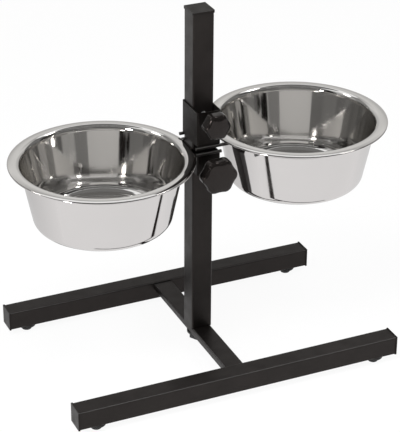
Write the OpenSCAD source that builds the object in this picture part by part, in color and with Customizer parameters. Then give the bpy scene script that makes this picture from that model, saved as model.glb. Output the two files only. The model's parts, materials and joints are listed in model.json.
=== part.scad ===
// Feeder stand with two lift-out bowls.
// Millimetres, +Z up, X along the base tubes, the front at -Y.
// The origin is on the floor, below the middle of the post.

/* [Base] */
// Side of the square tube of the base
tube_size = 25; // [22:0.5:32]
// Wall of the square tube
tube_wall = 1.5; // [1:0.1:2.5]
// Outer corner radius of the tubes
tube_corner = 2; // [1:0.1:3]
// Length of each long base tube, without its caps
tube_length = 426; // [340:1:600]
// Distance between the centre lines of the two long base tubes
tube_spacing = 250; // [180:1:400]
// Height of the flat cross member
cross_height = 10; // [8:0.5:16]
// How far the cross member's top lies below the tops of the long tubes
cross_drop = 2; // [0:0.5:6]

/* [Post] */
// Side of the post's square tube
post_size = 27; // [23:0.5:34]
// Length of the post
post_length = 426; // [390:1:600]
// Height of the threaded insert in the post's foot
insert_height = 12; // [8:1:20]
// Gap between a plug or insert and the tube's inner wall
plug_gap = 0.1; // [0.05:0.01:0.3]
// Diameter of the bolt that holds the post
bolt_diameter = 12; // [8:1:14]
// Width across the flats of the bolt's head
bolt_head_flats = 19; // [16:1:22]
// Height of the bolt's head
bolt_head_height = 7.5; // [4:0.5:9]
// Diameter of the washer under the cross member
washer_diameter = 27; // [24:1:30]
// Thickness of the washer
washer_thickness = 2.5; // [1:0.5:3]
// Gap round a screw or bolt in its hole
screw_gap = 0.06; // [0.03:0.01:0.1]

/* [Caps] */
// How far a cap's flange stands proud of the tube on each side
cap_overhang = 0.75; // [0:0.05:1.5]
// Thickness of an end cap's flange
end_cap_thickness = 2; // [1.5:0.1:4]
// Thickness of the post cap's flange
post_cap_thickness = 3.5; // [2:0.1:5]
// Rounding of a cap's outer edge
cap_edge = 1; // [0.4:0.1:1.4]
// Depth of a cap's plug inside the tube
plug_depth = 14; // [8:1:24]
// Wall of a cap's hollow plug
plug_wall = 2; // [1.5:0.1:3]
// Height by which the ribs stand out of a cap's plug
rib_height = 1.2; // [0.6:0.1:2]
// Width of each rib
rib_width = 1.5; // [1:0.1:2]
// Number of ribs round a cap's plug
rib_count = 3; // [2:1:4]

/* [Feet] */
// Distance of each foot's axis from the end of its tube
foot_inset = 25; // [16:1:60]
// How far a foot's upper disc stays inside the width of the tube, on each side
foot_disc_margin = 0.5; // [0:0.1:2]
// Thickness of a foot's upper disc
foot_disc_thickness = 3.5; // [2:0.5:5]
// Diameter of a foot's pad at the floor
foot_pad_diameter = 13; // [11:0.5:16]
// Height of a foot's pad
foot_pad_height = 5.5; // [4:0.5:10]
// How much wider the pad is at its top than at the floor, in diameter
foot_pad_taper = 2; // [0:0.5:4]
// Diameter of a foot's screw
foot_screw_diameter = 4; // [3:0.5:5]
// Diameter of a foot screw's head
foot_screw_head = 7.5; // [6:0.5:9]
// Height of a foot screw's head
foot_screw_head_height = 2.4; // [1.5:0.1:3]
// How deep a foot screw's head is sunk above the floor
foot_screw_sink = 1; // [0.5:0.1:1.5]
// How far a foot screw reaches into its tube, past the wall
foot_screw_reach = 4; // [2:0.5:8]

/* [Sleeves] */
// Height of the upper sleeve
upper_sleeve_height = 44; // [36:1:70]
// Height of the lower sleeve
lower_sleeve_height = 27; // [26:1:70]
// Wall of each sleeve
sleeve_wall = 1.2; // [0.8:0.1:2]
// Outer corner radius of each sleeve
sleeve_corner = 2.2; // [1.6:0.1:3]
// Gap between a sleeve and the post
slide_gap = 0.4; // [0.2:0.05:0.6]
// Free depth between the post and a sleeve's front wall, which holds the clamp nut
clamp_room = 16.5; // [14:0.5:24]
// Distance of the upper clamp's axis below its sleeve's top
upper_clamp_drop = 10; // [9:0.5:24]
// Distance of the lower clamp's axis below its sleeve's top
lower_clamp_drop = 16.5; // [9:0.5:17]

/* [Clamps] */
// Diameter of a clamp screw
screw_diameter = 8; // [6:1:10]
// Width across the flats of a clamp nut
nut_flats = 13; // [12:1:16]
// Thickness of a clamp nut
nut_thickness = 6.5; // [4:0.5:8]
// Gap left between a clamp screw's tip and the post
tip_gap = 0.1; // [0.05:0.05:0.3]
// Clearance of a clamp screw in the sleeve's front wall, on each side
wall_hole_gap = 0.5; // [0.3:0.1:1]
// Gap between a knob's neck and the sleeve's front wall
knob_standoff = 5; // [3:0.5:10]
// Length of the upper knob's neck
upper_neck_length = 8.5; // [7:0.5:16]
// Length of the lower knob's neck
lower_neck_length = 16; // [7:0.5:20]
// Diameter of a knob's neck at the sleeve's end
knob_neck_diameter = 17; // [14:0.5:20]
// Thickness of a knob's lobed head
knob_head_thickness = 16; // [12:0.5:22]
// Number of lobes on a knob
knob_lobes = 6; // [5:1:7]
// Diameter of the upper knob over its lobes
upper_knob_diameter = 34; // [31:0.5:38]
// Diameter of the lower knob over its lobes
lower_knob_diameter = 46; // [42:0.5:50]
// Radius of the upper knob's lobes
upper_lobe_radius = 6; // [5:0.1:7]
// Radius of the lower knob's lobes
lower_lobe_radius = 9; // [8:0.1:10]
// Radius of the hollows between a knob's lobes
knob_hollow_radius = 40; // [30:1:60]
// Rounding of a knob's front edge
knob_front_round = 6; // [4:0.5:8]
// Rounding of a knob's rear edge
knob_rear_round = 2.5; // [1:0.5:4]
// Depth of the bore in a knob that takes its screw
knob_bore_depth = 18; // [12:0.5:22]

/* [Rings] */
// Diameter of the wire
wire_diameter = 4; // [3:0.25:5]
// Height of the upper ring's wire above the floor
ring_height = 294.6; // [275:0.2:320]
// Gap between the wires of the upper and the lower ring
ring_gap = 4; // [3.6:0.1:10]
// Gap between a bowl's rim and the sleeves beside it
rim_gap = 1.4; // [1.3:0.1:12]
// Play between a ring and the bowl's wall, on each side
ring_play = 3; // [2:0.25:4]
// How deep the end of a leg sinks into the ring's wire, where the two are welded
weld_depth = 1; // [0.6:0.1:1.4]
// How far a leg's centre line lies outside the sleeve's face
leg_outset = 1.1; // [0.6:0.1:1.4]
// How far the right ring's legs run on past the far side of the sleeve
right_leg_overrun = 3; // [0.5:0.25:3]
// How far the left ring's legs run on past the far side of the sleeve
left_leg_overrun = 0.5; // [0.25:0.25:3]

/* [Bowls] */
// Outer diameter of a bowl's rim
rim_diameter = 225; // [200:0.5:250]
// Width of the rim, from the mouth to the outer edge
rim_width = 9.5; // [8.5:0.25:12]
// Radius of the rim's crown, which falls toward the rolled edge
rim_crown = 20; // [12:1:24]
// Tilt of the crown where it meets the rolled edge, in degrees
crown_tilt = 18; // [10:1:22]
// Outer radius of the rolled edge
rim_roll = 1.2; // [1:0.05:1.5]
// Radius of the lip from the rim into the bowl
lip_radius = 6; // [4:0.1:7]
// Depth of a bowl over all
bowl_depth = 83; // [50:1:110]
// Thickness of the sheet
bowl_sheet = 0.7; // [0.5:0.05:0.75]
// Outer diameter of a bowl at its base, before the rounding
bowl_base_diameter = 165; // [120:1:176]
// Outer radius of the rounding at the base
bowl_base_round = 13; // [6:0.5:20]
// Diameter of the raised disc in the base
base_disc_diameter = 112; // [60:1:116]
// Height by which the disc is raised
base_disc_rise = 2.5; // [1:0.1:5]
// Gap between a bowl's rolled edge and the legs it sits on
seat_gap = 0.3; // [0.2:0.05:0.5]

/* [Hidden] */
$fn = 64;
arc_steps = 8;
tube_inner_corner = max(tube_corner - tube_wall, 0.3);
foot_height = foot_disc_thickness + foot_pad_height;
tube_axis_height = foot_height + tube_size / 2;
tube_top = foot_height + tube_size;
foot_x = tube_length / 2 - foot_inset;
foot_screw_ceiling = foot_screw_sink + foot_screw_head_height;
cross_top = tube_top - cross_drop;
cross_axis_height = cross_top - cross_height / 2;
cross_length = tube_spacing - tube_size;
cross_bottom = cross_top - cross_height;
bolt_reach = insert_height - 2;

sleeve_width = post_size + 2 * slide_gap + 2 * sleeve_wall;
sleeve_rear = post_size / 2 + slide_gap + sleeve_wall;
sleeve_front = -post_size / 2 - clamp_room - sleeve_wall;
sleeve_depth = sleeve_rear - sleeve_front;
sleeve_middle = (sleeve_rear + sleeve_front) / 2;
wire_radius = wire_diameter / 2;
lower_ring_height = ring_height - wire_diameter - ring_gap;
// The sleeves' outer edges rest on the flanks of the legs
leg_seat = sqrt(wire_radius * wire_radius - leg_outset * leg_outset);
upper_sleeve_bottom = ring_height + leg_seat;
lower_sleeve_bottom = lower_ring_height - leg_seat - lower_sleeve_height;
upper_clamp_height = upper_sleeve_bottom + upper_sleeve_height - upper_clamp_drop;
lower_clamp_height = lower_sleeve_bottom + lower_sleeve_height - lower_clamp_drop;

screw_tip = -post_size / 2 - tip_gap;
knob_rear = sleeve_front - knob_standoff;
screw_start = knob_rear - knob_bore_depth;

rim_radius = rim_diameter / 2;
mouth_radius = rim_radius - rim_width;
wall_top_radius = mouth_radius - lip_radius + bowl_sheet;
ring_radius = wall_top_radius + ring_play + wire_radius;
ring_distance = sleeve_width / 2 + rim_gap + rim_radius;
leg_spread = sleeve_depth / 2 + leg_outset;
// From the ring's centre to the end of a leg in the ring's wire
leg_end = sqrt(ring_radius * ring_radius - leg_spread * leg_spread) + wire_radius - weld_depth;
rim_height = rim_crown * (1 - cos(crown_tilt)) + rim_roll * (1 + cos(crown_tilt));
rim_above_wire = wire_radius + seat_gap + rim_height;
// Slope of the bowl's wall from the vertical
wall_slope = atan2(wall_top_radius - bowl_base_diameter / 2, bowl_depth - lip_radius);

powder_black = "#1d1b1a";
plastic_black = "#121212";
rubber_black = "#202020";
zinc = "#b9bcbf";
blackened = "#242424";
steel = "#d5d6d6";

// Points on an arc from one angle to another
function arc(cx, cy, r, from, to, steps = arc_steps) =
    [for (i = [0 : steps]) let (a = from + (to - from) * i / steps) [cx + r * cos(a), cy + r * sin(a)]];

// Side of a plug or insert that fits into a square tube
function plug_size(size) = size - 2 * tube_wall - 2 * plug_gap;

function reversed(points) = [for (i = [len(points) - 1 : -1 : 0]) points[i]];

module rounded_rectangle(width, depth, corner) {
    square([width - 2 * corner, depth], center = true);
    square([width, depth - 2 * corner], center = true);
    for (x = [-1, 1], y = [-1, 1])
        translate([x * (width / 2 - corner), y * (depth / 2 - corner)]) circle(corner);
}

// Box tube that stands on the XY plane
module box_tube(width, depth, wall, corner, inner_corner, length) {
    linear_extrude(length) difference() {
        rounded_rectangle(width, depth, corner);
        rounded_rectangle(width - 2 * wall, depth - 2 * wall, inner_corner);
    }
}

// Long base tube at the front (-1) or the rear (1), with its holes for the foot screws
module base_tube(side) {
    color(powder_black) difference() {
        translate([-tube_length / 2, side * tube_spacing / 2, tube_axis_height])
            rotate([90, 0, 90])
                box_tube(tube_size, tube_size, tube_wall, tube_corner, tube_inner_corner, tube_length);
        for (x = [-1, 1])
            translate([x * foot_x, side * tube_spacing / 2, foot_height - 1])
                cylinder(h = tube_wall + 2, r = foot_screw_diameter / 2 + screw_gap);
    }
}

module cross_member() {
    color(powder_black) difference() {
        translate([0, -cross_length / 2, cross_axis_height])
            rotate([-90, 0, 0])
                box_tube(tube_size, cross_height, tube_wall, tube_corner, tube_inner_corner, cross_length);
        translate([0, 0, cross_bottom - 1]) cylinder(h = cross_height + 2, r = bolt_diameter / 2 + screw_gap);
    }
}

module post() {
    color(powder_black) translate([0, 0, cross_top])
        box_tube(post_size, post_size, tube_wall, tube_corner, tube_inner_corner, post_length);
}

module post_insert() {
    side = plug_size(post_size);
    color(zinc) translate([0, 0, cross_top]) difference() {
        linear_extrude(insert_height) rounded_rectangle(side, side, tube_inner_corner);
        translate([0, 0, -1]) cylinder(h = insert_height + 2, r = bolt_diameter / 2 + screw_gap);
    }
}

module post_bolt() {
    head_bottom = cross_bottom - washer_thickness - bolt_head_height;
    color(blackened) {
        translate([0, 0, head_bottom]) cylinder(h = bolt_head_height, d = bolt_head_flats / cos(30), $fn = 6);
        translate([0, 0, head_bottom])
            cylinder(h = cross_top + bolt_reach - head_bottom, r = bolt_diameter / 2);
    }
}

module post_washer() {
    color(blackened) translate([0, 0, cross_bottom - washer_thickness]) difference() {
        cylinder(h = washer_thickness, d = washer_diameter);
        translate([0, 0, -1]) cylinder(h = washer_thickness + 2, r = bolt_diameter / 2 + screw_gap);
    }
}

// Push-in cap for a tube of the given size: the flange covers z from 0 to thickness, the ribbed plug goes down
module tube_cap(size, thickness) {
    flange = size + 2 * cap_overhang;
    plug = plug_size(size);
    core = plug - 2 * rib_height;
    color(plastic_black) {
        linear_extrude(thickness - cap_edge) rounded_rectangle(flange, flange, tube_corner);
        translate([0, 0, thickness - cap_edge]) crowned_edge(flange);
        translate([0, 0, -plug_depth]) linear_extrude(plug_depth) difference() {
            rounded_rectangle(core, core, tube_inner_corner);
            square(core - 2 * plug_wall, center = true);
        }
        for (i = [1 : rib_count])
            translate([0, 0, -i * plug_depth / (rib_count + 1) - rib_width / 2])
                linear_extrude(rib_width) difference() {
                    rounded_rectangle(plug, plug, tube_inner_corner);
                    square(core - 2 * plug_wall, center = true);
                }
    }
}

// Rounded outer edge of a cap's flange
module crowned_edge(flange) {
    intersection() {
        linear_extrude(cap_edge) rounded_rectangle(flange, flange, tube_corner);
        rotate([90, 0, 0]) edge_profile(flange);
        rotate([90, 0, 90]) edge_profile(flange);
    }
}

// Section of the flange's edge, extruded across the whole flange
module edge_profile(flange) {
    flat = flange / 2 - cap_edge;
    translate([0, 0, -flange]) linear_extrude(2 * flange) {
        translate([-flat, -cap_edge]) square([2 * flat, 2 * cap_edge]);
        for (x = [-flat, flat]) translate([x, 0]) circle(cap_edge);
    }
}

module post_cap() {
    translate([0, 0, cross_top + post_length]) tube_cap(post_size, post_cap_thickness);
}

// End cap of a base tube, at the left (-1) or right (1) and the front (-1) or rear (1)
module end_cap(x_side, y_side) {
    translate([x_side * tube_length / 2, y_side * tube_spacing / 2, tube_axis_height])
        rotate([0, x_side * 90, 0]) tube_cap(tube_size, end_cap_thickness);
}

// Stepped foot: a disc against the tube, a tapered pad on the floor and a sunk hole for the screw
module foot(x_side, y_side) {
    hole = foot_screw_diameter / 2 + screw_gap;
    sink = foot_screw_head / 2 + screw_gap;
    disc = tube_size / 2 - foot_disc_margin;
    pad = foot_pad_diameter / 2;
    color(rubber_black) translate([x_side * foot_x, y_side * tube_spacing / 2, 0]) rotate_extrude() polygon(concat(
        [[hole, foot_height], [disc, foot_height]],
        arc(disc - 1, foot_pad_height + 1, 1, 0, -90),
        [[pad + foot_pad_taper / 2, foot_pad_height]],
        arc(pad - 1, 1, 1, 0, -90),
        [[sink, 0], [sink, foot_screw_ceiling], [hole, foot_screw_ceiling]]));
}

module foot_screws() {
    for (x = [-1, 1], y = [-1, 1])
        color(zinc) translate([x * foot_x, y * tube_spacing / 2, foot_screw_sink]) {
            cylinder(h = foot_screw_head_height, d = foot_screw_head);
            cylinder(h = foot_height + tube_wall + foot_screw_reach - foot_screw_sink, d = foot_screw_diameter);
        }
}

// Sleeve with its bottom edge at one height and the clamp's hole in its front wall at another
module sleeve(bottom, height, clamp_height) {
    color(powder_black) translate([0, 0, bottom]) difference() {
        translate([0, sleeve_middle, 0])
            box_tube(sleeve_width, sleeve_depth, sleeve_wall, sleeve_corner, sleeve_corner - sleeve_wall,
                     height);
        translate([0, sleeve_front - 1, clamp_height - bottom])
            rotate([-90, 0, 0]) cylinder(h = sleeve_wall + 2, r = screw_diameter / 2 + wall_hole_gap);
    }
}

// Hexagon nut on the inside of a sleeve's front wall
module clamp_nut(height) {
    color(zinc) translate([0, sleeve_front + sleeve_wall, height]) rotate([-90, 0, 0]) difference() {
        cylinder(h = nut_thickness, d = nut_flats / cos(30), $fn = 6);
        translate([0, 0, -1]) cylinder(h = nut_thickness + 2, r = screw_diameter / 2 + screw_gap);
    }
}

// Clamp screw from inside its knob to the post, with a bevelled tip
module clamp_screw(height) {
    bevel = 1;
    shank = screw_tip - screw_start - bevel;
    color(zinc) translate([0, screw_start, height]) rotate([-90, 0, 0]) {
        cylinder(h = shank, d = screw_diameter);
        translate([0, 0, shank]) cylinder(h = bevel, d1 = screw_diameter, d2 = screw_diameter - 2 * bevel);
    }
}

// Outline of a knob's head: lobes and hollows that run into each other as arcs
module lobed_outline(diameter, lobe_radius) {
    half_step = 180 / knob_lobes;
    lobe_at = diameter / 2 - lobe_radius;
    reach = lobe_radius + knob_hollow_radius;
    hollow_at = lobe_at * cos(half_step) + sqrt(reach * reach - pow(lobe_at * sin(half_step), 2));
    difference() {
        union() {
            polygon([for (i = [0 : 2 * knob_lobes - 1])
                let (r = i % 2 == 0 ? lobe_at : hollow_at) [r * cos(i * half_step), r * sin(i * half_step)]]);
            for (i = [0 : knob_lobes - 1])
                rotate(2 * i * half_step) translate([lobe_at, 0]) circle(lobe_radius);
        }
        for (i = [0 : knob_lobes - 1])
            rotate((2 * i + 1) * half_step) translate([hollow_at, 0]) circle(knob_hollow_radius);
    }
}

// Clamp knob: a neck that widens into a lobed head with rounded edges, bored for its screw
module knob(height, diameter, lobe_radius, neck_length) {
    edge = diameter / 2;
    neck = knob_neck_diameter / 2;
    top = neck_length + knob_head_thickness;
    color(plastic_black) translate([0, knob_rear, height]) rotate([90, 0, 0]) difference() {
        union() {
            cylinder(h = neck_length + knob_rear_round, r1 = neck, r2 = neck + 1);
            intersection() {
                translate([0, 0, neck_length]) linear_extrude(knob_head_thickness)
                    lobed_outline(diameter, lobe_radius);
                rotate_extrude() polygon(concat(
                    [[0, neck_length]],
                    arc(edge - knob_rear_round, neck_length + knob_rear_round, knob_rear_round, -90, 0),
                    arc(edge - knob_front_round, top - knob_front_round - 1, knob_front_round, 0, 80),
                    [[0, top]]));
            }
        }
        translate([0, 0, -1]) cylinder(h = knob_bore_depth + 1, r = screw_diameter / 2 + screw_gap);
    }
}

// Bowl ring at the right of the post: a closed ring of wire with two straight legs along the sleeve
module ring(leg_overrun) {
    leg_length = ring_distance - leg_end + sleeve_width / 2 + leg_overrun;
    rotate_extrude() translate([ring_radius, 0]) circle(wire_radius);
    for (side = [-1, 1])
        translate([-leg_end - leg_length, side * leg_spread, 0])
            rotate([0, 90, 0]) cylinder(h = leg_length, r = wire_radius);
}

module right_ring() {
    color(powder_black) translate([ring_distance, sleeve_middle, ring_height]) ring(right_leg_overrun);
}

module left_ring() {
    color(powder_black) translate([-ring_distance, sleeve_middle, lower_ring_height])
        mirror([1, 0, 0]) ring(left_leg_overrun);
}

// Drawn bowl with its rim's top at z = 0: a sheet of even thickness with a rolled edge
module bowl() {
    base_radius = bowl_base_diameter / 2;
    // Where the rounding at the base is centred
    round_z = bowl_base_round - bowl_depth;
    round_r = base_radius + (bowl_base_round - bowl_base_round * sin(wall_slope)) * tan(wall_slope)
        - bowl_base_round * cos(wall_slope);
    disc = base_disc_diameter / 2;
    inner_round = bowl_base_round - bowl_sheet;
    under_lip = lip_radius - bowl_sheet;
    edge_r = rim_radius - rim_roll;
    edge_z = rim_roll - rim_height;
    crown_r = edge_r - (rim_crown - rim_roll) * sin(crown_tilt);
    crown_end = 90 - crown_tilt;
    curl_start = crown_end - 12;
    // The rolled edge curls under the crowned rim and ends at its own middle height
    outside = concat(
        arc(crown_r, -rim_crown, rim_crown, 90, crown_end),
        arc(edge_r, edge_z, rim_roll, curl_start, -180, 2 * arc_steps),
        arc(edge_r, edge_z, rim_roll - bowl_sheet, -180, curl_start, 2 * arc_steps),
        arc(crown_r, -rim_crown, rim_crown - bowl_sheet, crown_end, 90),
        arc(mouth_radius, -lip_radius, under_lip, 90, 180 + wall_slope),
        arc(round_r, round_z, bowl_base_round, -wall_slope, -90),
        [[disc + base_disc_rise, -bowl_depth], [disc, base_disc_rise - bowl_depth], [0, base_disc_rise - bowl_depth]]);
    inside = concat(
        arc(mouth_radius, -lip_radius, lip_radius, 90, 180 + wall_slope),
        arc(round_r, round_z, inner_round, -wall_slope, -90),
        [[disc + base_disc_rise, bowl_sheet - bowl_depth], [disc, base_disc_rise + bowl_sheet - bowl_depth],
         [0, base_disc_rise + bowl_sheet - bowl_depth]]);
    rotate_extrude() polygon(concat(outside, reversed(inside)));
}

module right_bowl() {
    color(steel) translate([ring_distance, sleeve_middle, ring_height + rim_above_wire]) bowl();
}

module left_bowl() {
    color(steel) translate([-ring_distance, sleeve_middle, lower_ring_height + rim_above_wire]) bowl();
}

base_tube(-1);  // front_base_tube
base_tube(1);  // rear_base_tube
cross_member();
post();
post_insert();
post_bolt();
post_washer();
post_cap();
end_cap(-1, -1);  // front_left_end_cap
end_cap(1, -1);  // front_right_end_cap
end_cap(-1, 1);  // rear_left_end_cap
end_cap(1, 1);  // rear_right_end_cap
foot(-1, -1);  // front_left_foot
foot(1, -1);  // front_right_foot
foot(-1, 1);  // rear_left_foot
foot(1, 1);  // rear_right_foot
foot_screws();
sleeve(upper_sleeve_bottom, upper_sleeve_height, upper_clamp_height);  // upper_sleeve
clamp_nut(upper_clamp_height);  // upper_clamp_nut
clamp_screw(upper_clamp_height);  // upper_clamp_screw
knob(upper_clamp_height, upper_knob_diameter, upper_lobe_radius, upper_neck_length);  // upper_knob
right_ring();
right_bowl();
sleeve(lower_sleeve_bottom, lower_sleeve_height, lower_clamp_height);  // lower_sleeve
clamp_nut(lower_clamp_height);  // lower_clamp_nut
clamp_screw(lower_clamp_height);  // lower_clamp_screw
knob(lower_clamp_height, lower_knob_diameter, lower_lobe_radius, lower_neck_length);  // lower_knob
left_ring();
left_bowl();
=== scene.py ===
"""Dresses the feeder stand: bowls, knobs, threads, finishes, studio and camera."""

import json
import math

import bmesh
import bpy
from mathutils import Matrix, Vector


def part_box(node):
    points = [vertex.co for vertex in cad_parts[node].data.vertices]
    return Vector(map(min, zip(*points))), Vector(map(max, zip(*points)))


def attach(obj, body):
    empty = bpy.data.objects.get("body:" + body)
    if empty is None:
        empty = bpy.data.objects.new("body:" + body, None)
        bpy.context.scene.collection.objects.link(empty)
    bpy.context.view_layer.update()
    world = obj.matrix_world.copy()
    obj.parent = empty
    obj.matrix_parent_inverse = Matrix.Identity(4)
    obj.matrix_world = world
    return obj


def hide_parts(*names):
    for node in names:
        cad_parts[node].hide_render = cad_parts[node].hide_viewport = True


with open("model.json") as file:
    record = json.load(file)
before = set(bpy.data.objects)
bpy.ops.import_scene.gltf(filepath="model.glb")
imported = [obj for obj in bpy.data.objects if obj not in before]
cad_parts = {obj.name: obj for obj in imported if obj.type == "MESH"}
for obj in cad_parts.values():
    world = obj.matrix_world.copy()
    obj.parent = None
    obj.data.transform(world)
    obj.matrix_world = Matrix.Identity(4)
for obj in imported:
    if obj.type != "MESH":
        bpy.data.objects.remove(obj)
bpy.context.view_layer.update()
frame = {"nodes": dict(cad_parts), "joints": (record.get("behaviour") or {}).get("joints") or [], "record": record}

MM = 0.001
NODES = frame["nodes"]
SLOT_OF = {part["node"]: part["material_slot"] for part in frame["record"]["subparts"]}
JOINTS = {joint["name"]: joint for joint in frame["joints"]}

# Bowl, in millimetres and degrees: what its own box doesn't give
RIM_WIDTH = 9.5
RIM_ROLL = 1.2
RIM_CROWN = 20.0
CROWN_TILT = 18.0
CURL_GAP = 12.0
LIP_RADIUS = 6.0
SHEET = 0.7
BASE_RADIUS = 82.5
BASE_ROUND = 13.0
DISC_RADIUS = 56.0
DISC_RISE = 2.5
DISC_EASE = 1.2
DISC_KNEE = 45.0

# Steps along the bowl's section and round its axis
ARC_STEPS = 18
CROWN_STEPS = 8
OUTER_CURL_STEPS = 24
INNER_CURL_STEPS = 16
DISC_STEPS = 4
BOWL_SIDES = 192

# How far a straight line's points sit from its ends, in millimetres
LINE_MARGIN = 0.4

# Knob, in millimetres and degrees
KNOB_LOBES = 6
KNOB_LOBE = {"upper_knob": 6.0, "lower_knob": 9.0}
KNOB_HOLLOW = 40.0
KNOB_NECK = {"upper_knob": 8.5, "lower_knob": 16.0}
NECK_REAR_RADIUS = 8.5
NECK_FRONT_RADIUS = 9.5
NECK_BEVEL = 0.6
NECK_FILLET = 1.2
KNOB_REAR_ROUND = 2.5
KNOB_FRONT_ROUND = 5.0
KNOB_FRONT_SWEEP = 78.0
KNOB_CROWN = 1.0
CROWN_SHARES = (0.75, 0.5, 0.25, 0.0)

# Steps along the knob's section and round its axis
FILLET_STEPS = 4
REAR_STEPS = 6
FRONT_STEPS = 9
KNOB_SIDES = 180

# Clamp screw, in millimetres, with the rows to a pitch and to each run-out of its thread
SCREW_IN_KNOB = 18.0
THREAD_IN_KNOB = 4.0
THREAD_PITCH = 1.25
THREAD_DEPTH = 0.6
THREAD_SLACK = 0.01
SCREW_BEVEL = 1.0
PITCH_STEPS = 10
RUN_OUT_STEPS = 6
THREAD_SIDES = 40

# Points nearer to each other than this become one, in metres
SAME_POINT = 1e-7

# Tones
BLACK = (0.007, 0.006, 0.0056)
WARM_TINT = (1.0, 0.88, 0.84)
OUTSIDE_STEEL_TONE = (0.63, 0.61, 0.604)
# Painted light: the inside's steel is brighter than the outside's, so what it mirrors reads lighter
LIT_INSIDE_STEEL_TONE = (0.78, 0.77, 0.757)
PAPER_TONE = (0.88, 0.88, 0.88)
WALL_TINT = (1.0, 0.988, 0.968)
BOX_TINT = (1.0, 0.98, 0.96)
WHITE = (1.0, 1.0, 1.0)

# The part of a noise's range over which a tone changes
NOISE_LOW = 0.3
NOISE_HIGH = 0.7

# How far a surface faces up where an edge's painted highlight starts, is strongest and ends
EDGE_START = 0.3
EDGE_MIDDLE = 0.7
EDGE_END = 0.97

# Studio, in metres
FLOOR_HALF = 6.0
WALL_DISTANCE = 2.2
CARD_DISTANCE = 2.1
BOX_DISTANCE = 1.9
STAND_MIDDLE = 0.28
LAMP_AIM = 0.25
CEILING_HEIGHT = 4.4
SHADE_HALF = 3.0
SHADE_HEIGHT = 0.001

# Degrees to each flat of the wall, and sides of the ceiling
WALL_STEP = 6
CEILING_SIDES = 36

# Shares of a wall's brightness at rising elevations, in degrees
BACK_PROFILE = ((-5, 0.65), (17, 0.71), (28, 1.0), (48, 0.5))
FRONT_PROFILE = ((-5, 0.6), (15, 1.0), (24, 0.8), (32, 0.35), (61, 0.35))
BAND_PROFILE = ((37, 1.0), (41, 1.0))
GLOW_PROFILE = ((48, 1.0), (53, 0.7))

# Strips of the wall from the right round the back, the left and the front:
# first and last azimuth, brightness and profile
WALL = [
    (110, 202, 0.73, BACK_PROFILE),
    (202, 237, 0.3, BACK_PROFILE),
    (237, 273, 0.54, BACK_PROFILE),
    (273, 285, 0.19, BACK_PROFILE),
    (285, 312, 0.2, FRONT_PROFILE),
    (312, 347, 0.15, FRONT_PROFILE),
    (-13, 9, 0.2, FRONT_PROFILE),
    (9, 37, 0.15, FRONT_PROFILE),
    (37, 77, 0.2, FRONT_PROFILE),
    (77, 110, 0.21, BACK_PROFILE),
]

# Camera, in metres, degrees and millimetres of film, fitted to the photograph's straight edges
CAMERA_PLACE = (-0.8305, -1.8474, 1.2512)
CAMERA_AZIMUTH = -24.274
CAMERA_ELEVATION = 27.752
CAMERA_ROLL = 0.355
CAMERA_LENS = 153.75
CAMERA_SENSOR = 36.0
CAMERA_REACH = 50.0


def arc(cx, cy, radius, start, end, steps=ARC_STEPS):
    """Points on an arc, with the angles in degrees."""
    turns = [math.radians(start + (end - start) * i / steps) for i in range(steps + 1)]
    return [(cx + radius * math.cos(turn), cy + radius * math.sin(turn)) for turn in turns]


def straight(start, end):
    """Points just inside both ends of a straight line, which keep its shading straight between them."""
    near = LINE_MARGIN / math.dist(start, end)
    return [tuple(a + (b - a) * share for a, b in zip(start, end)) for share in (near, 1 - near)]


def scaled(color, share):
    return tuple(share * c for c in color)


def add_object(name, data):
    new_object = bpy.data.objects.new(name, data)
    bpy.context.scene.collection.objects.link(new_object)
    return new_object


# Materials

def principled(name, color, metallic, roughness):
    """A new material, with its node tree and its shader."""
    mat = bpy.data.materials.new(name)
    mat.use_nodes = True
    tree = mat.node_tree
    shader = tree.nodes["Principled BSDF"]
    shader.inputs["Base Color"].default_value = (*color, 1.0)
    shader.inputs["Metallic"].default_value = metallic
    shader.inputs["Roughness"].default_value = roughness
    return mat, tree, shader


def warm_sheen(shader, level):
    """Weakens and warms the gloss of a black surface."""
    shader.inputs["Specular IOR Level"].default_value = level
    shader.inputs["Specular Tint"].default_value = (*WARM_TINT, 1.0)


def noise(tree, scale, detail=4.0, stretch=(1, 1, 1)):
    """Noise over object coordinates, finer along the axes with a larger stretch."""
    place = tree.nodes.new("ShaderNodeTexCoord")
    mapping = tree.nodes.new("ShaderNodeMapping")
    mapping.inputs["Scale"].default_value = stretch
    texture = tree.nodes.new("ShaderNodeTexNoise")
    texture.inputs["Scale"].default_value = scale
    texture.inputs["Detail"].default_value = detail
    tree.links.new(place.outputs["Object"], mapping.inputs["Vector"])
    tree.links.new(mapping.outputs["Vector"], texture.inputs["Vector"])
    return texture.outputs["Fac"]


def color_ramp(tree, source, grades):
    """Turns a value into colours that run through the given rising positions."""
    node = tree.nodes.new("ShaderNodeValToRGB")
    stops = node.color_ramp.elements
    for number, (position, color) in enumerate(grades):
        stop = stops[number] if number < 2 else stops.new(1.0)
        stop.position = position
        stop.color = (*color, 1.0)
    tree.links.new(source, node.inputs["Fac"])
    return node.outputs["Color"]


def ramp(tree, source, low, high):
    """Runs a noise from one colour to another."""
    return color_ramp(tree, source, [(NOISE_LOW, low), (NOISE_HIGH, high)])


def grey_ramp(tree, source, low, high):
    """Runs a noise from one level to another."""
    return ramp(tree, source, scaled(WHITE, low), scaled(WHITE, high))


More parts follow.
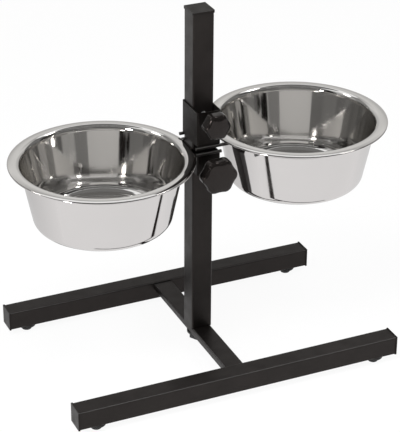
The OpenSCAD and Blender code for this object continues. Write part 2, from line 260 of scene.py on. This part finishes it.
def paint_edge_highlight(tree, tone, edge_highlight):
    """Adds a painted highlight, a light grey, to a tone where the surface is rounded between its top and a side.
    """
    shape = tree.nodes.new("ShaderNodeNewGeometry")
    split = tree.nodes.new("ShaderNodeSeparateXYZ")
    tree.links.new(shape.outputs["Normal"], split.inputs["Vector"])
    no_highlight = scaled(WHITE, 0.0)
    grades = [(EDGE_START, no_highlight), (EDGE_MIDDLE, scaled(WHITE, edge_highlight)), (EDGE_END, no_highlight)]
    edge = color_ramp(tree, split.outputs["Z"], grades)
    add = tree.nodes.new("ShaderNodeMixRGB")
    add.blend_type = "ADD"
    add.inputs[0].default_value = 1.0
    tree.links.new(tone, add.inputs[1])
    tree.links.new(edge, add.inputs[2])
    return add.outputs[0]


def bump(tree, shader, height, strength, distance, edge=0.0):
    """Puts a fine relief on the shader, over edges softened by the given radius."""
    node = tree.nodes.new("ShaderNodeBump")
    node.inputs["Strength"].default_value = strength
    node.inputs["Distance"].default_value = distance
    tree.links.new(height, node.inputs["Height"])
    if edge:
        soft = tree.nodes.new("ShaderNodeBevel")
        soft.inputs["Radius"].default_value = edge
        tree.links.new(soft.outputs["Normal"], node.inputs["Normal"])
    tree.links.new(node.outputs["Normal"], shader.inputs["Normal"])


def powder_coat(name, sheen):
    mat, tree, shader = principled(name, BLACK, metallic=0.0, roughness=0.42)
    warm_sheen(shader, sheen)
    tone = ramp(tree, noise(tree, scale=35.0), low=(0.005, 0.0043, 0.004), high=(0.009, 0.0078, 0.0073))
    # Painted highlight: a light grey added along the upper rounded edges
    highlighted = paint_edge_highlight(tree, tone, edge_highlight=0.05)
    rough = grey_ramp(tree, noise(tree, scale=60.0), low=0.36, high=0.47)
    tree.links.new(highlighted, shader.inputs["Base Color"])
    tree.links.new(rough, shader.inputs["Roughness"])
    grain = noise(tree, scale=900.0, detail=3.0)
    bump(tree, shader, grain, strength=0.22, distance=0.0004, edge=0.0006)
    return mat


def moulded_plastic(name, sheen, rough_low, rough_high, grain_scale, edge_highlight):
    mat, tree, shader = principled(name, BLACK, metallic=0.0, roughness=rough_low)
    warm_sheen(shader, sheen)
    tone = ramp(tree, noise(tree, scale=50.0), low=scaled(BLACK, 0.8), high=BLACK)
    # Painted highlight: a light grey added along the upper rounded edges
    highlighted = paint_edge_highlight(tree, tone, edge_highlight)
    rough = grey_ramp(tree, noise(tree, scale=90.0), rough_low, rough_high)
    tree.links.new(highlighted, shader.inputs["Base Color"])
    tree.links.new(rough, shader.inputs["Roughness"])
    grain = noise(tree, scale=grain_scale, detail=2.0)
    bump(tree, shader, grain, strength=0.12, distance=0.0003, edge=0.0004)
    return mat


def rubber():
    mat, tree, shader = principled("foot_rubber", (0.018, 0.018, 0.018), metallic=0.0, roughness=0.75)
    rough = grey_ramp(tree, noise(tree, scale=120.0), low=0.65, high=0.85)
    tree.links.new(rough, shader.inputs["Roughness"])
    bump(tree, shader, noise(tree, scale=700.0), strength=0.3, distance=0.0004, edge=0.0004)
    return mat


def blackened_steel():
    mat, tree, shader = principled("black_steel", (0.012, 0.012, 0.012), metallic=0.0, roughness=0.4)
    rough = grey_ramp(tree, noise(tree, scale=200.0), low=0.3, high=0.5)
    tree.links.new(rough, shader.inputs["Roughness"])
    bump(tree, shader, noise(tree, scale=1200.0), strength=0.15, distance=0.0002, edge=0.0004)
    return mat


def zinc():
    mat, tree, shader = principled("zinc_steel", (0.6, 0.61, 0.62), metallic=1.0, roughness=0.3)
    tone = ramp(tree, noise(tree, scale=150.0), low=(0.52, 0.53, 0.54), high=(0.66, 0.66, 0.65))
    rough = grey_ramp(tree, noise(tree, scale=400.0), low=0.22, high=0.4)
    tree.links.new(tone, shader.inputs["Base Color"])
    tree.links.new(rough, shader.inputs["Roughness"])
    bump(tree, shader, noise(tree, scale=1500.0), strength=0.1, distance=0.0002, edge=0.0003)
    return mat


def polished_steel(name, color):
    mat, tree, shader = principled(name, color, metallic=1.0, roughness=0.06)
    tone = ramp(tree, noise(tree, scale=9.0), low=scaled(color, 0.98), high=scaled(color, 1.02))
    rough = grey_ramp(tree, noise(tree, scale=25.0), low=0.035, high=0.09)
    tree.links.new(tone, shader.inputs["Base Color"])
    tree.links.new(rough, shader.inputs["Roughness"])
    # Faint rings left by polishing on the spindle run round the bowl, so the relief changes with height
    rings = noise(tree, scale=6.0, detail=6.0, stretch=(1, 1, 60))
    bump(tree, shader, rings, strength=0.03, distance=0.0002)
    return mat


# The last argument of each plastic is the strength of its painted edge highlight
FINISH = {
    "powder_coat": powder_coat("powder_coat", sheen=0.28),
    "cap_plastic": moulded_plastic("cap_plastic", sheen=0.22, rough_low=0.34, rough_high=0.46,
                                   grain_scale=800.0, edge_highlight=0.05),
    "knob_plastic": moulded_plastic("knob_plastic", sheen=0.3, rough_low=0.09, rough_high=0.16,
                                    grain_scale=500.0, edge_highlight=0.0),
    "foot_rubber": rubber(),
    "zinc_steel": zinc(),
    "black_steel": blackened_steel(),
    "bowl_steel": polished_steel("bowl_steel", OUTSIDE_STEEL_TONE),
}
# Painted light: a brighter copy of the bowl steel for the inside
LIT_INSIDE_STEEL = polished_steel("bowl_steel_inside_lit", LIT_INSIDE_STEEL_TONE)
SLEEVE_COAT = powder_coat("sleeve_coat", sheen=0.12)
for node_name, node_object in NODES.items():
    finish = SLEEVE_COAT if node_name.endswith("_sleeve") else FINISH[SLOT_OF[node_name]]
    node_object.data.materials.clear()
    node_object.data.materials.append(finish)


# Pieces

def add_piece(name, verts, faces, body, slot, node):
    """A smooth mesh in the part's frame that rides a body, takes a slot's finish and replaces a node."""
    mesh = bpy.data.meshes.new(name)
    mesh.from_pydata(verts, [], faces)
    # Rows that close on the axis become one point
    shape = bmesh.new()
    shape.from_mesh(mesh)
    bmesh.ops.remove_doubles(shape, verts=shape.verts, dist=SAME_POINT)
    shape.to_mesh(mesh)
    shape.free()
    mesh.validate()
    mesh.polygons.foreach_set("use_smooth", [True] * len(mesh.polygons))
    mesh.materials.append(FINISH[slot])
    piece = add_object(name, mesh)
    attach(piece, body)
    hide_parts(node)
    return piece


def grid_faces(rows, sides):
    """Quads between rows of points that each go once round an axis."""
    faces = []
    for row in range(rows - 1):
        here = row * sides
        there = here + sides
        for j in range(sides):
            following = (j + 1) % sides
            faces.append((here + j, here + following, there + following, there + j))
    return faces


def flipped(faces):
    """The same faces, turned to their other side."""
    return [tuple(reversed(face)) for face in faces]


def bowl_profile(rim_radius, depth):
    """The sheet's inside from the disc out and its outside back: radius and height from the rim's top."""
    mouth = rim_radius - RIM_WIDTH
    wall_top = mouth - LIP_RADIUS + SHEET
    slope = math.atan2(wall_top - BASE_RADIUS, depth - LIP_RADIUS)
    lean = math.degrees(slope)
    round_z = BASE_ROUND - depth
    widening = BASE_ROUND * (1 - math.sin(slope)) * math.tan(slope)
    round_r = BASE_RADIUS + widening - BASE_ROUND * math.cos(slope)
    tilt = math.radians(CROWN_TILT)
    rim_height = RIM_CROWN * (1 - math.cos(tilt)) + RIM_ROLL * (1 + math.cos(tilt))
    edge_r = rim_radius - RIM_ROLL
    edge_z = RIM_ROLL - rim_height
    crown_r = edge_r - (RIM_CROWN - RIM_ROLL) * math.sin(tilt)
    crown_end = 90 - CROWN_TILT
    curl_start = crown_end - CURL_GAP
    reach = DISC_EASE * math.tan(math.radians(DISC_KNEE / 2))
    foot = DISC_RADIUS + DISC_RISE + reach
    head = DISC_RADIUS - reach

    def disc_step(lift):
        """The rounded step from the base up to its raised disc, with the start of the flat disc."""
        low = lift - depth
        return [
            *arc(foot, low + DISC_EASE, DISC_EASE, 270, 270 - DISC_KNEE, DISC_STEPS),
            *arc(head, low + DISC_RISE - DISC_EASE, DISC_EASE, 90 - DISC_KNEE, 90, DISC_STEPS),
            (head - LINE_MARGIN, low + DISC_RISE),
        ]

    inner_foot = arc(round_r, round_z, BASE_ROUND - SHEET, -90, -lean)
    inner_lip = arc(mouth, -LIP_RADIUS, LIP_RADIUS, 180 + lean, 90)
    outer_lip = arc(mouth, -LIP_RADIUS, LIP_RADIUS - SHEET, 90, 180 + lean)
    outer_foot = arc(round_r, round_z, BASE_ROUND, -lean, -90)
    inside = [
        *reversed(disc_step(SHEET)),
        *straight((foot, SHEET - depth), inner_foot[0]),
        *inner_foot,
        *straight(inner_foot[-1], inner_lip[0]),
        *inner_lip,
        *straight(inner_lip[-1], (crown_r, 0.0)),
    ]
    outside = [
        *arc(crown_r, -RIM_CROWN, RIM_CROWN, 90, crown_end, CROWN_STEPS),
        *arc(edge_r, edge_z, RIM_ROLL, curl_start, -180, OUTER_CURL_STEPS),
        *arc(edge_r, edge_z, RIM_ROLL - SHEET, -180, curl_start, INNER_CURL_STEPS),
        *arc(crown_r, -RIM_CROWN, RIM_CROWN - SHEET, crown_end, 90, CROWN_STEPS),
        *straight((crown_r, -SHEET), outer_lip[0]),
        *outer_lip,
        *straight(outer_lip[-1], outer_foot[0]),
        *outer_foot,
        *straight(outer_foot[-1], (foot, -depth)),
        *disc_step(0.0),
    ]
    return inside, outside


def bowl(node, body):
    """A drawn bowl turned from its profile, in place of the CAD bowl."""
    low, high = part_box(node)
    middle = (low + high) / 2
    rim_radius = (high.y - low.y) / 2 / MM
    inside, outside = bowl_profile(rim_radius, (high.z - low.z) / MM)
    profile = inside + outside
    verts = []
    for radius, height in profile:
        for j in range(BOWL_SIDES):
            turn = 2 * math.pi * j / BOWL_SIDES
            x = middle.x + radius * MM * math.cos(turn)
            y = middle.y + radius * MM * math.sin(turn)
            verts.append((x, y, high.z + height * MM))
    ring = range(BOWL_SIDES)
    last = (len(profile) - 1) * BOWL_SIDES
    disc_top = tuple(ring)
    disc_bottom = tuple(last + j for j in reversed(ring))
    faces = flipped(grid_faces(len(profile), BOWL_SIDES)) + [disc_top, disc_bottom]
    piece = add_piece(node + "_drawn", verts, faces, body, "bowl_steel", node)
    # The inside and the top of the rim, up to its curled edge, take a brighter steel tone than the outside:
    # painted light that brightens what they mirror
    piece.data.materials.append(LIT_INSIDE_STEEL)
    polished_rows = len(inside) + CROWN_STEPS
    for face in piece.data.polygons:
        row = min(face.vertices) // BOWL_SIDES
        face.material_index = 1 if row < polished_rows else 0


def lobed_radius(turn, size, lobe):
    """Distance from the axis to a knob's outline in a direction: lobes and hollows that meet as arcs."""
    half_step = math.pi / KNOB_LOBES
    lobe_at = size - lobe
    reach = lobe + KNOB_HOLLOW
    hollow_at = lobe_at * math.cos(half_step) + math.sqrt(reach ** 2 - (lobe_at * math.sin(half_step)) ** 2)
    away = abs((turn + half_step) % (2 * half_step) - half_step)
    toward_x = hollow_at * math.cos(half_step) - lobe_at
    toward_y = hollow_at * math.sin(half_step)
    meet = math.atan2(lobe * toward_y / reach, lobe_at + lobe * toward_x / reach)
    if away <= meet:
        return lobe_at * math.cos(away) + math.sqrt(lobe ** 2 - (lobe_at * math.sin(away)) ** 2)
    across = half_step - away
    return hollow_at * math.cos(across) - math.sqrt(KNOB_HOLLOW ** 2 - (hollow_at * math.sin(across)) ** 2)


def knob_rows(length, neck):
    """A knob's rows from rear to front, each with its kind, its value and its distance from the rear.

    The value is a plain radius, a distance in from the lobed outline or a share of the front's outline.
    """
    fillet = arc(NECK_FRONT_RADIUS + NECK_FILLET, 0.0, NECK_FILLET, 180, 90, FILLET_STEPS)
    rear = arc(0.0, 0.0, KNOB_REAR_ROUND, -90, 0, REAR_STEPS)
    front = arc(0.0, 0.0, KNOB_FRONT_ROUND, 0, KNOB_FRONT_SWEEP, FRONT_STEPS)
    side_end = length - KNOB_CROWN - KNOB_FRONT_ROUND
    crown = length - KNOB_CROWN - KNOB_FRONT_ROUND * (1 - math.sin(math.radians(KNOB_FRONT_SWEEP)))
    return [
        ("plain", 0.0, 0.0),
        ("plain", NECK_REAR_RADIUS - NECK_BEVEL, 0.0),
        ("plain", NECK_REAR_RADIUS, NECK_BEVEL),
        *(("plain", radius, neck - NECK_FILLET + along) for radius, along in fillet),
        *(("lobed", KNOB_REAR_ROUND - out, neck + KNOB_REAR_ROUND + along) for out, along in rear),
        *(("lobed", KNOB_FRONT_ROUND - out, side_end + along) for out, along in front),
        *(("share", share, crown + (length - crown) * (1 - share ** 2)) for share in CROWN_SHARES),
    ]


def knob(node, body, joint):
    """A moulded knob with every edge rounded, in place of the CAD knob. Its axis points to the front."""
    low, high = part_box(node)
    axis_height = JOINTS[joint]["pos_m"][2]
    size = (high.x - low.x) / 2 / MM
    rows = knob_rows((high.y - low.y) / MM, KNOB_NECK[node])
    front_inset = KNOB_FRONT_ROUND * (1 - math.cos(math.radians(KNOB_FRONT_SWEEP)))
    verts = []
    for kind, value, along in rows:
        for j in range(KNOB_SIDES):
            turn = 2 * math.pi * j / KNOB_SIDES
            outline = lobed_radius(turn, size, KNOB_LOBE[node])
            front = outline - front_inset
            radius = {"plain": value, "lobed": outline - value, "share": front * value}[kind]
            x = radius * MM * math.cos(turn)
            z = axis_height + radius * MM * math.sin(turn)
            verts.append((x, high.y - along * MM, z))
    faces = grid_faces(len(rows), KNOB_SIDES)
    add_piece(node + "_moulded", verts, faces, body, "knob_plastic", node)


def screw_rows(length, radius):
    """A screw's rows from knob to tip: distance along it, radius and share of the thread's depth."""
    plain = SCREW_IN_KNOB - THREAD_IN_KNOB
    threaded = length - plain - SCREW_BEVEL
    steps = int(threaded / THREAD_PITCH * PITCH_STEPS)
    outer = radius - THREAD_SLACK
    rows = [(0.0, 0.0, 0.0), (0.0, outer, 0.0), (plain, outer, 0.0)]
    for i in range(1, steps + 1):
        cut = min(1.0, i / RUN_OUT_STEPS, (steps - i) / RUN_OUT_STEPS)
        rows.append((plain + threaded * i / steps, outer, cut))
    rows += [(length, radius - SCREW_BEVEL, 0.0), (length, 0.0, 0.0)]
    return rows


def clamp_screw(node, body):
    """A clamp screw with its thread cut from just inside the knob to the bevelled tip."""
    low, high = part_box(node)
    middle = (low + high) / 2
    rows = screw_rows((high.y - low.y) / MM, (high.z - low.z) / 2 / MM)
    verts = []
    for along, outer, cut in rows:
        for j in range(THREAD_SIDES):
            turn = j / THREAD_SIDES
            wave = abs(2 * ((along / THREAD_PITCH - turn) % 1.0) - 1.0)
            radius = (outer - cut * THREAD_DEPTH * wave) * MM
            x = middle.x + radius * math.cos(2 * math.pi * turn)
            z = middle.z + radius * math.sin(2 * math.pi * turn)
            verts.append((x, low.y + along * MM, z))
    faces = flipped(grid_faces(len(rows), THREAD_SIDES))
    add_piece(node + "_threaded", verts, faces, body, "zinc_steel", node)


bowl("right_bowl", "right_bowl")
bowl("left_bowl", "left_bowl")
knob("upper_knob", "upper_knob", "upper_knob_turn")
knob("lower_knob", "lower_knob", "lower_knob_turn")
clamp_screw("upper_clamp_screw", "upper_screw")
clamp_screw("lower_clamp_screw", "lower_screw")


# Studio

def toward(azimuth, elevation):
    """Direction from the stand into the studio: azimuth 0 is in front, at -Y, and 90 is at the right."""
    a, e = math.radians(azimuth), math.radians(elevation)
    return Vector((math.sin(a) * math.cos(e), -math.cos(a) * math.cos(e), math.sin(e)))


def on_wall(azimuth, distance, height):
    """A place on a round wall about the stand, with the same azimuths."""
    turn = math.radians(azimuth)
    return (distance * math.sin(turn), -distance * math.cos(turn), height)


def wall_height(elevation, distance):
    """Height on a wall that the stand's middle sees at an elevation."""
    return STAND_MIDDLE + distance * math.tan(math.radians(elevation))


def seen_direct(tree):
    """1 where the camera, a mirror or glass looks, and 0 for the light that falls on things."""
    path = tree.nodes.new("ShaderNodeLightPath")
    total = path.outputs["Is Camera Ray"]
    for name in ("Is Glossy Ray", "Is Transmission Ray"):
        add = tree.nodes.new("ShaderNodeMath")
        add.operation = "MAXIMUM"
        tree.links.new(total, add.inputs[0])
        tree.links.new(path.outputs[name], add.inputs[1])
        total = add.outputs[0]
    return total


def make_world(fill):
    """A white world that is seen at full strength and lights things by the given fill."""
    world = bpy.data.worlds.new("studio")
    bpy.context.scene.world = world
    world.use_nodes = True
    tree = world.node_tree
    background = tree.nodes["Background"]
    background.inputs["Color"].default_value = (*WHITE, 1.0)
    strength = tree.nodes.new("ShaderNodeMapRange")
    strength.inputs["To Min"].default_value = fill
    strength.inputs["To Max"].default_value = 1.0
    tree.links.new(seen_direct(tree), strength.inputs["Value"])
    tree.links.new(strength.outputs["Result"], background.inputs["Strength"])


def bare_material(name):
    """A new material without a shader, with its node tree and the socket that its surface goes to."""
    mat = bpy.data.materials.new(name)
    mat.use_nodes = True
    tree = mat.node_tree
    tree.nodes.remove(tree.nodes["Principled BSDF"])
    return mat, tree, tree.nodes["Material Output"].inputs["Surface"]


def make_floor(own_light):
    """A pale floor that keeps the shadow, with part of its white from its own light where it is seen."""
    mat, tree, surface = bare_material("floor")
    paper = tree.nodes.new("ShaderNodeBsdfDiffuse")
    paper.inputs["Color"].default_value = (*PAPER_TONE, 1.0)
    glow = tree.nodes.new("ShaderNodeEmission")
    share = tree.nodes.new("ShaderNodeMath")
    share.operation = "MULTIPLY"
    share.inputs[1].default_value = own_light
    mix = tree.nodes.new("ShaderNodeMixShader")
    tree.links.new(seen_direct(tree), share.inputs[0])
    tree.links.new(share.outputs[0], mix.inputs["Fac"])
    tree.links.new(paper.outputs["BSDF"], mix.inputs[1])
    tree.links.new(glow.outputs["Emission"], mix.inputs[2])
    tree.links.new(mix.outputs["Shader"], surface)
    corners = [(x * FLOOR_HALF, y * FLOOR_HALF, 0) for x, y in ((-1, -1), (1, -1), (1, 1), (-1, 1))]
    mesh = bpy.data.meshes.new("floor")
    mesh.from_pydata(corners, [], [(0, 1, 2, 3)])
    mesh.materials.append(mat)
    floor = add_object("floor", mesh)


def glow_material(name, color, strength=1.0):
    mat, tree, surface = bare_material(name)
    glow = tree.nodes.new("ShaderNodeEmission")
    glow.inputs["Color"].default_value = (*color, 1.0)
    glow.inputs["Strength"].default_value = strength
    tree.links.new(glow.outputs["Emission"], surface)
    return mat


def graded_glow(name, axis, grades):
    """A glow whose colour runs through the given places, from 0 to 1, along an axis of its card."""
    mat = glow_material(name, WHITE)
    tree = mat.node_tree
    place = tree.nodes.new("ShaderNodeTexCoord")
    split = tree.nodes.new("ShaderNodeSeparateXYZ")
    tree.links.new(place.outputs["Generated"], split.inputs["Vector"])
    tones = color_ramp(tree, split.outputs[axis], grades)
    tree.links.new(tones, tree.nodes["Emission"].inputs["Color"])
    return mat


def add_card(name, verts, faces, material):
    """A studio card that only mirrors see."""
    mesh = bpy.data.meshes.new(name)
    mesh.from_pydata(verts, [], faces)
    mesh.materials.append(material)
    card = add_object(name, mesh)
    for flag in ("visible_camera", "visible_diffuse", "visible_shadow", "visible_transmission"):
        setattr(card, flag, False)
    return card


def make_wall(name, start, end, level, profile, distance=WALL_DISTANCE):
    """A strip of wall between two azimuths, with its brightness as shares at rising elevations."""
    heights = [wall_height(elevation, distance) for elevation, share in profile]
    foot, top = heights[0], heights[-1]
    grades = [((height - foot) / (top - foot), scaled(WALL_TINT, share * level))
              for height, (elevation, share) in zip(heights, profile)]
    steps = max(1, round((end - start) / WALL_STEP))
    turns = [start + (end - start) * i / steps for i in range(steps + 1)]
    verts = [on_wall(turn, distance, height) for turn in turns for height in (foot, top)]
    faces = [(2 * i, 2 * i + 2, 2 * i + 3, 2 * i + 1) for i in range(steps)]
    add_card(name, verts, faces, graded_glow(name, "Z", grades))


def make_floor_shade(azimuth, start, darkest, end, level):
    """A soft grey band across the floor behind the stand, which only mirrors see."""
    half = SHADE_HALF
    verts = [(x, y, SHADE_HEIGHT) for x, y in ((-half, start), (half, start), (half, end), (-half, end))]
    grades = [(0.0, WHITE), ((darkest - start) / (end - start), scaled(WHITE, level)), (1.0, WHITE)]
    card = add_card("floor_shade", verts, [(0, 1, 2, 3)], graded_glow("floor_shade", "Y", grades))
    card.rotation_euler.z = math.radians(azimuth)


def make_ceiling(level):
    turns = [360 / CEILING_SIDES * i for i in range(CEILING_SIDES)]
    corners = [on_wall(turn, CARD_DISTANCE, CEILING_HEIGHT) for turn in turns]
    glow = glow_material("ceiling", scaled(WALL_TINT, level))
    add_card("ceiling", corners, [tuple(range(CEILING_SIDES))], glow)


def make_soft_box(name, azimuth, elevation, size, strength):
    """The bright face of a soft box, as the bowls mirror it."""
    away = toward(azimuth, elevation)
    across = Vector((0, 0, 1)).cross(away).normalized() * size / 2
    up = away.cross(across).normalized() * size / 2
    middle = Vector((0, 0, STAND_MIDDLE)) + away * BOX_DISTANCE
    verts = [tuple(middle + x * across + y * up) for x, y in ((-1, -1), (1, -1), (1, 1), (-1, 1))]
    add_card(name, verts, [(0, 1, 2, 3)], glow_material(name, BOX_TINT, strength))


def make_lamp(name, azimuth, elevation, distance, size, watts):
    """A square lamp aimed at the stand, which mirrors don't see."""
    lamp = bpy.data.lights.new(name, "AREA")
    lamp.size = size
    lamp.energy = watts
    away = toward(azimuth, elevation)
    holder = add_object(name, lamp)
    holder.location = Vector((0, 0, LAMP_AIM)) + away * distance
    holder.rotation_mode = "QUATERNION"
    holder.rotation_quaternion = (-away).to_track_quat("-Z", "Y")
    holder.visible_glossy = False


def make_camera():
    data = bpy.data.cameras.new("camera")
    data.lens = CAMERA_LENS
    data.sensor_width = CAMERA_SENSOR
    data.clip_end = CAMERA_REACH
    back = toward(CAMERA_AZIMUTH, CAMERA_ELEVATION)
    level_right = Vector((0, 0, 1)).cross(back).normalized()
    level_up = back.cross(level_right)
    roll = math.radians(CAMERA_ROLL)
    right = level_right * math.cos(roll) + level_up * math.sin(roll)
    up = -level_right * math.sin(roll) + level_up * math.cos(roll)
    axes = Matrix((right, up, back)).transposed().to_4x4()
    camera = add_object("camera", data)
    camera.matrix_world = Matrix.Translation(Vector(CAMERA_PLACE)) @ axes
    bpy.context.scene.camera = camera


bpy.context.scene.view_settings.view_transform = "Standard"
# A ray is mirrored many times inside a bowl before it leaves
bpy.context.scene.cycles.max_bounces = 24
bpy.context.scene.cycles.glossy_bounces = 16
make_world(fill=0.45)
make_floor(own_light=0.94)
for number, (start, end, level, profile) in enumerate(WALL):
    make_wall(f"wall_{number}", start, end, level, profile)
make_wall("band", start=-102, end=54, level=0.64, profile=BAND_PROFILE, distance=CARD_DISTANCE)
make_wall("glow", start=-80, end=32, level=0.32, profile=GLOW_PROFILE, distance=CARD_DISTANCE)
make_floor_shade(azimuth=-5, start=-0.05, darkest=0.42, end=0.68, level=0.66)
make_ceiling(level=0.18)
make_soft_box("box_left", azimuth=-118, elevation=42, size=0.3, strength=12.0)
make_soft_box("box_right", azimuth=83, elevation=55, size=0.3, strength=12.0)
make_soft_box("box_low_left", azimuth=-62, elevation=7, size=0.3, strength=56.0)
make_lamp("lamp_left", azimuth=-70, elevation=45, distance=2.0, size=0.8, watts=28.0)
make_lamp("lamp_front_left", azimuth=-35, elevation=62, distance=1.8, size=0.45, watts=14.0)
make_lamp("lamp_front_right", azimuth=40, elevation=60, distance=1.9, size=0.45, watts=12.0)
make_camera()
